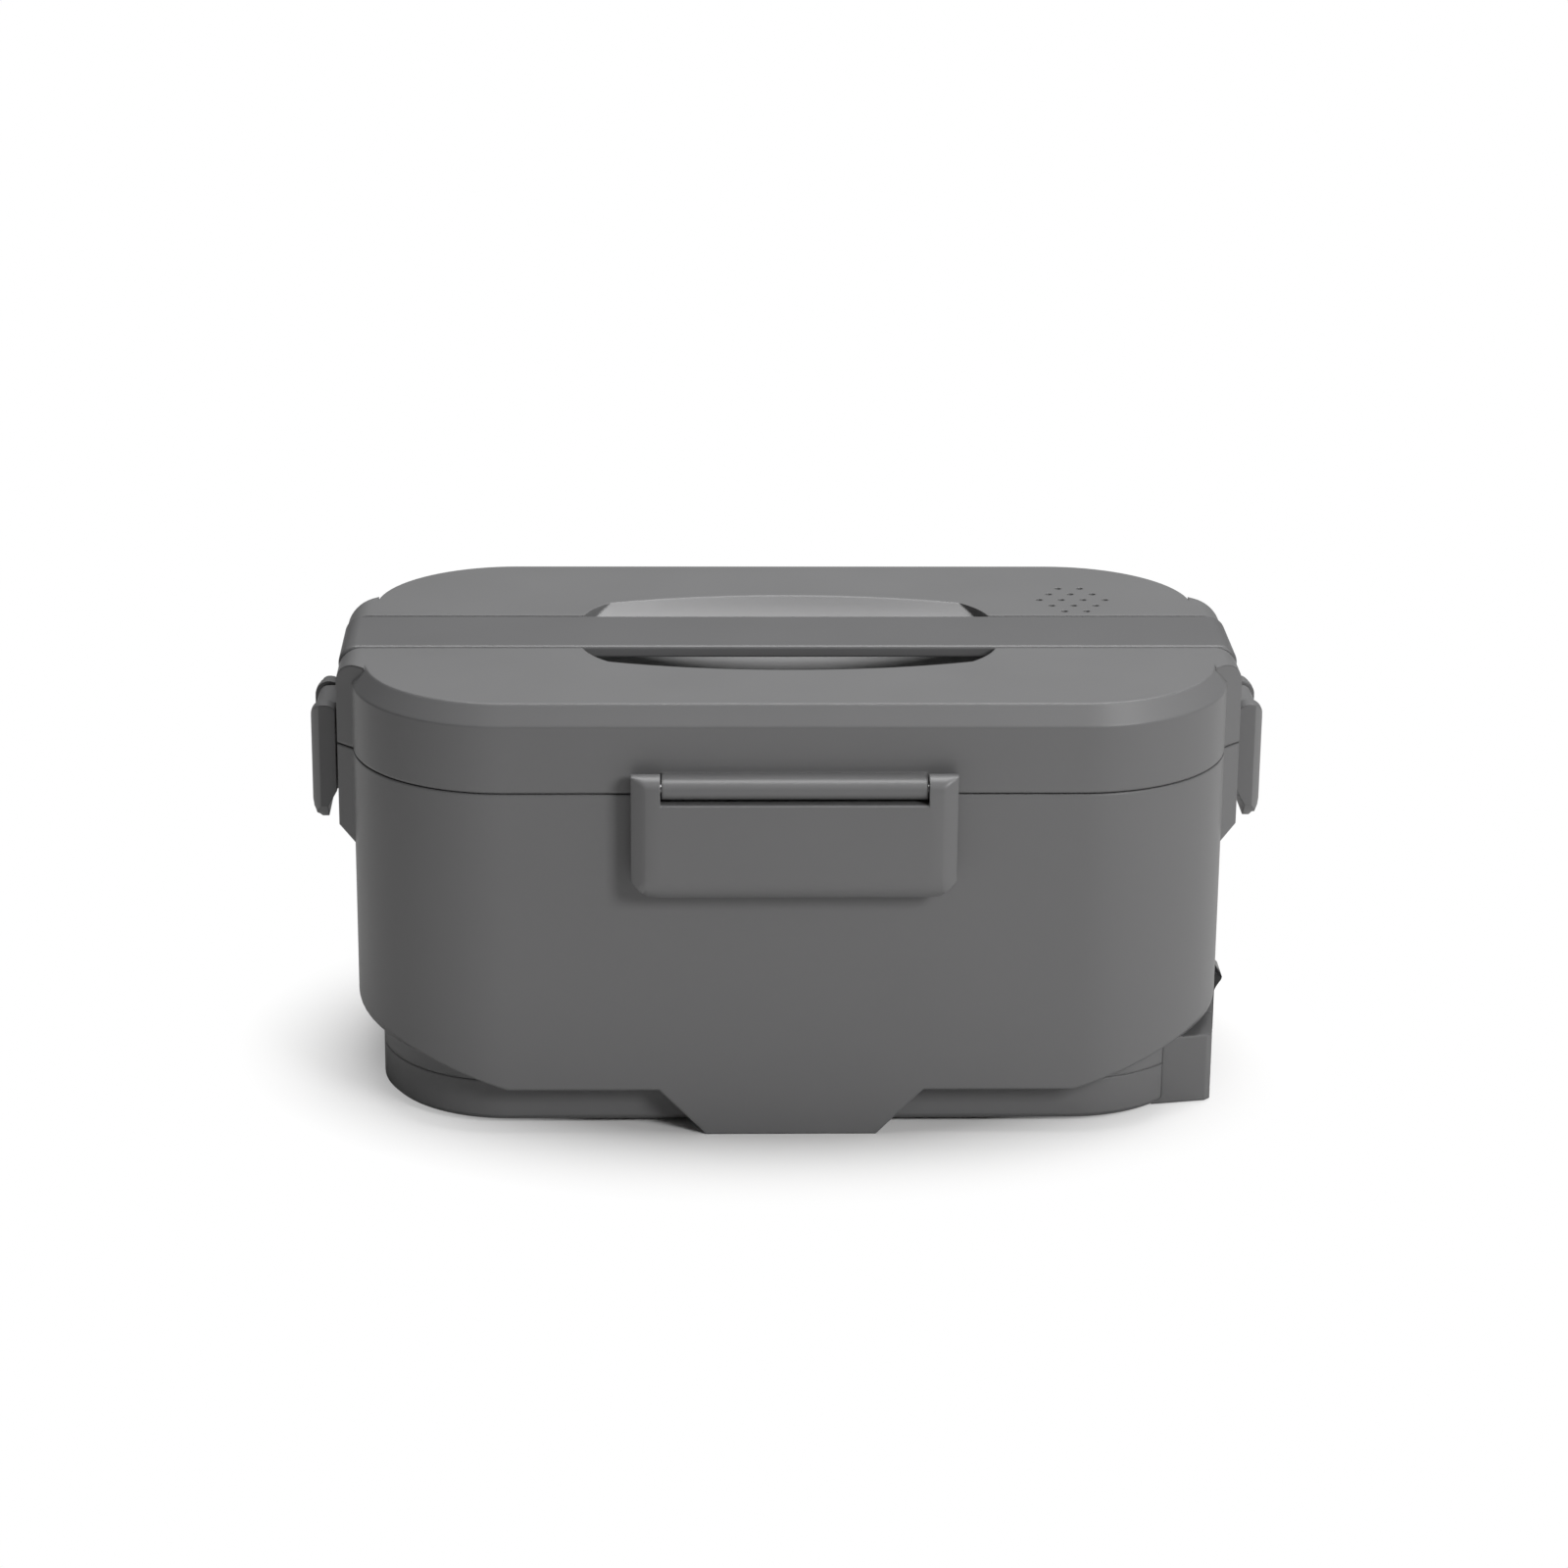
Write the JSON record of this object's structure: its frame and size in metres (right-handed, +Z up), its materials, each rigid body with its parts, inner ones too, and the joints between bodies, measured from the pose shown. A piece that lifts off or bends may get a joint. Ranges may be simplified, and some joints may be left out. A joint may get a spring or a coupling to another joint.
{
  "type": "electric lunch box",
  "caption": "Oblong heated lunch box: lift-off lid held by clip latches, strap handle across the lid, lift-out steel food container and a socket with a rocker switch.",
  "frame": {"origin": "middle of the rectangle the box stands on, at table height", "axes": "+X to the right along the long side, +Y to the back, +Z up; the socket and switch are on the right end"},
  "size_m": [0.237, 0.137, 0.1097],
  "materials": {
    "shell": "fine matte dark grey moulded plastic",
    "base": "matte dark grey moulded plastic",
    "latch": "matte dark grey moulded plastic",
    "handle": "matte dark grey moulded plastic",
    "black": "black moulded plastic",
    "liner": "pale grey heat-resistant plastic",
    "inner": "pale grey plastic",
    "steel": "brushed stainless steel",
    "pin": "drawn steel",
    "aluminium": "plain aluminium",
    "brass": "brass",
    "rubber": "black rubber",
    "silicone": "pale silicone",
    "ceramic": "glazed ceramic and phenolic",
    "wire_brown": "brown wire insulation",
    "wire_blue": "blue wire insulation",
    "wire_white": "white heat-resistant wire sleeve"
  },
  "bodies": {
    "body": {"body_shell": "shell", "base_cover": "base", "rubber_feet": "rubber", "base_screws": "pin", "socket_housing": "shell", "power_inlet": "black", "inlet_pins": "brass", "switch_frame": "black", "switch_terminals": "brass", "chamber_liner": "liner", "heating_plate": "aluminium", "plate_screws": "pin", "heater": "aluminium", "heater_clamp": "pin", "clamp_screws": "pin", "thermostat": "ceramic", "thermal_fuse": "ceramic", "heat_shield": "aluminium", "wire_live_in": "wire_brown", "wire_live_out": "wire_brown", "wire_heater_link": "wire_white", "wire_neutral": "wire_blue", "wire_fuse_link": "wire_white"},
    "container": {"food_container": "steel"},
    "lid": {"lid_shell": "shell", "lid_inner_plate": "inner", "lid_seal": "silicone", "steam_valve": "silicone", "lid_screws": "pin", "long_latch_pins": "pin", "side_latch_pins": "pin"},
    "handle": {"carry_handle": "handle"},
    "front_latch": {"front_latch": "latch"},
    "rear_latch": {"rear_latch": "latch"},
    "left_latch": {"left_latch": "latch"},
    "right_latch": {"right_latch": "latch"},
    "rocker": {"switch_rocker": "black"}
  },
  "joints": [
    {"name": "container_lift", "type": "slide", "parent": "body", "child": "container", "axis": [0, 0, 1], "range_m": [0, 0.075]},
    {"name": "lid_lift", "type": "slide", "parent": "container", "child": "lid", "axis": [0, 0, 1], "range_m": [0, 0.06]},
    {"name": "handle_lift", "type": "slide", "parent": "lid", "child": "handle", "axis": [0, 0, 1], "range_m": [0, 0.012]},
    {"name": "front_latch_hinge", "type": "hinge", "parent": "lid", "child": "front_latch", "pos_m": [0, -0.065, 0.0907], "axis": [-1, 0, 0], "range_deg": [0, 110]},
    {"name": "rear_latch_hinge", "type": "hinge", "parent": "lid", "child": "rear_latch", "pos_m": [0, 0.065, 0.0907], "axis": [1, 0, 0], "range_deg": [0, 110]},
    {"name": "left_latch_hinge", "type": "hinge", "parent": "lid", "child": "left_latch", "pos_m": [-0.115, 0, 0.0907], "axis": [0, 1, 0], "range_deg": [0, 110]},
    {"name": "right_latch_hinge", "type": "hinge", "parent": "lid", "child": "right_latch", "pos_m": [0.115, 0, 0.0907], "axis": [0, -1, 0], "range_deg": [0, 110]},
    {"name": "switch_rock", "type": "hinge", "parent": "body", "child": "rocker", "pos_m": [0.104, -0.0165, 0.0205], "axis": [0, -1, 0], "range_deg": [0, 24]}
  ]
}
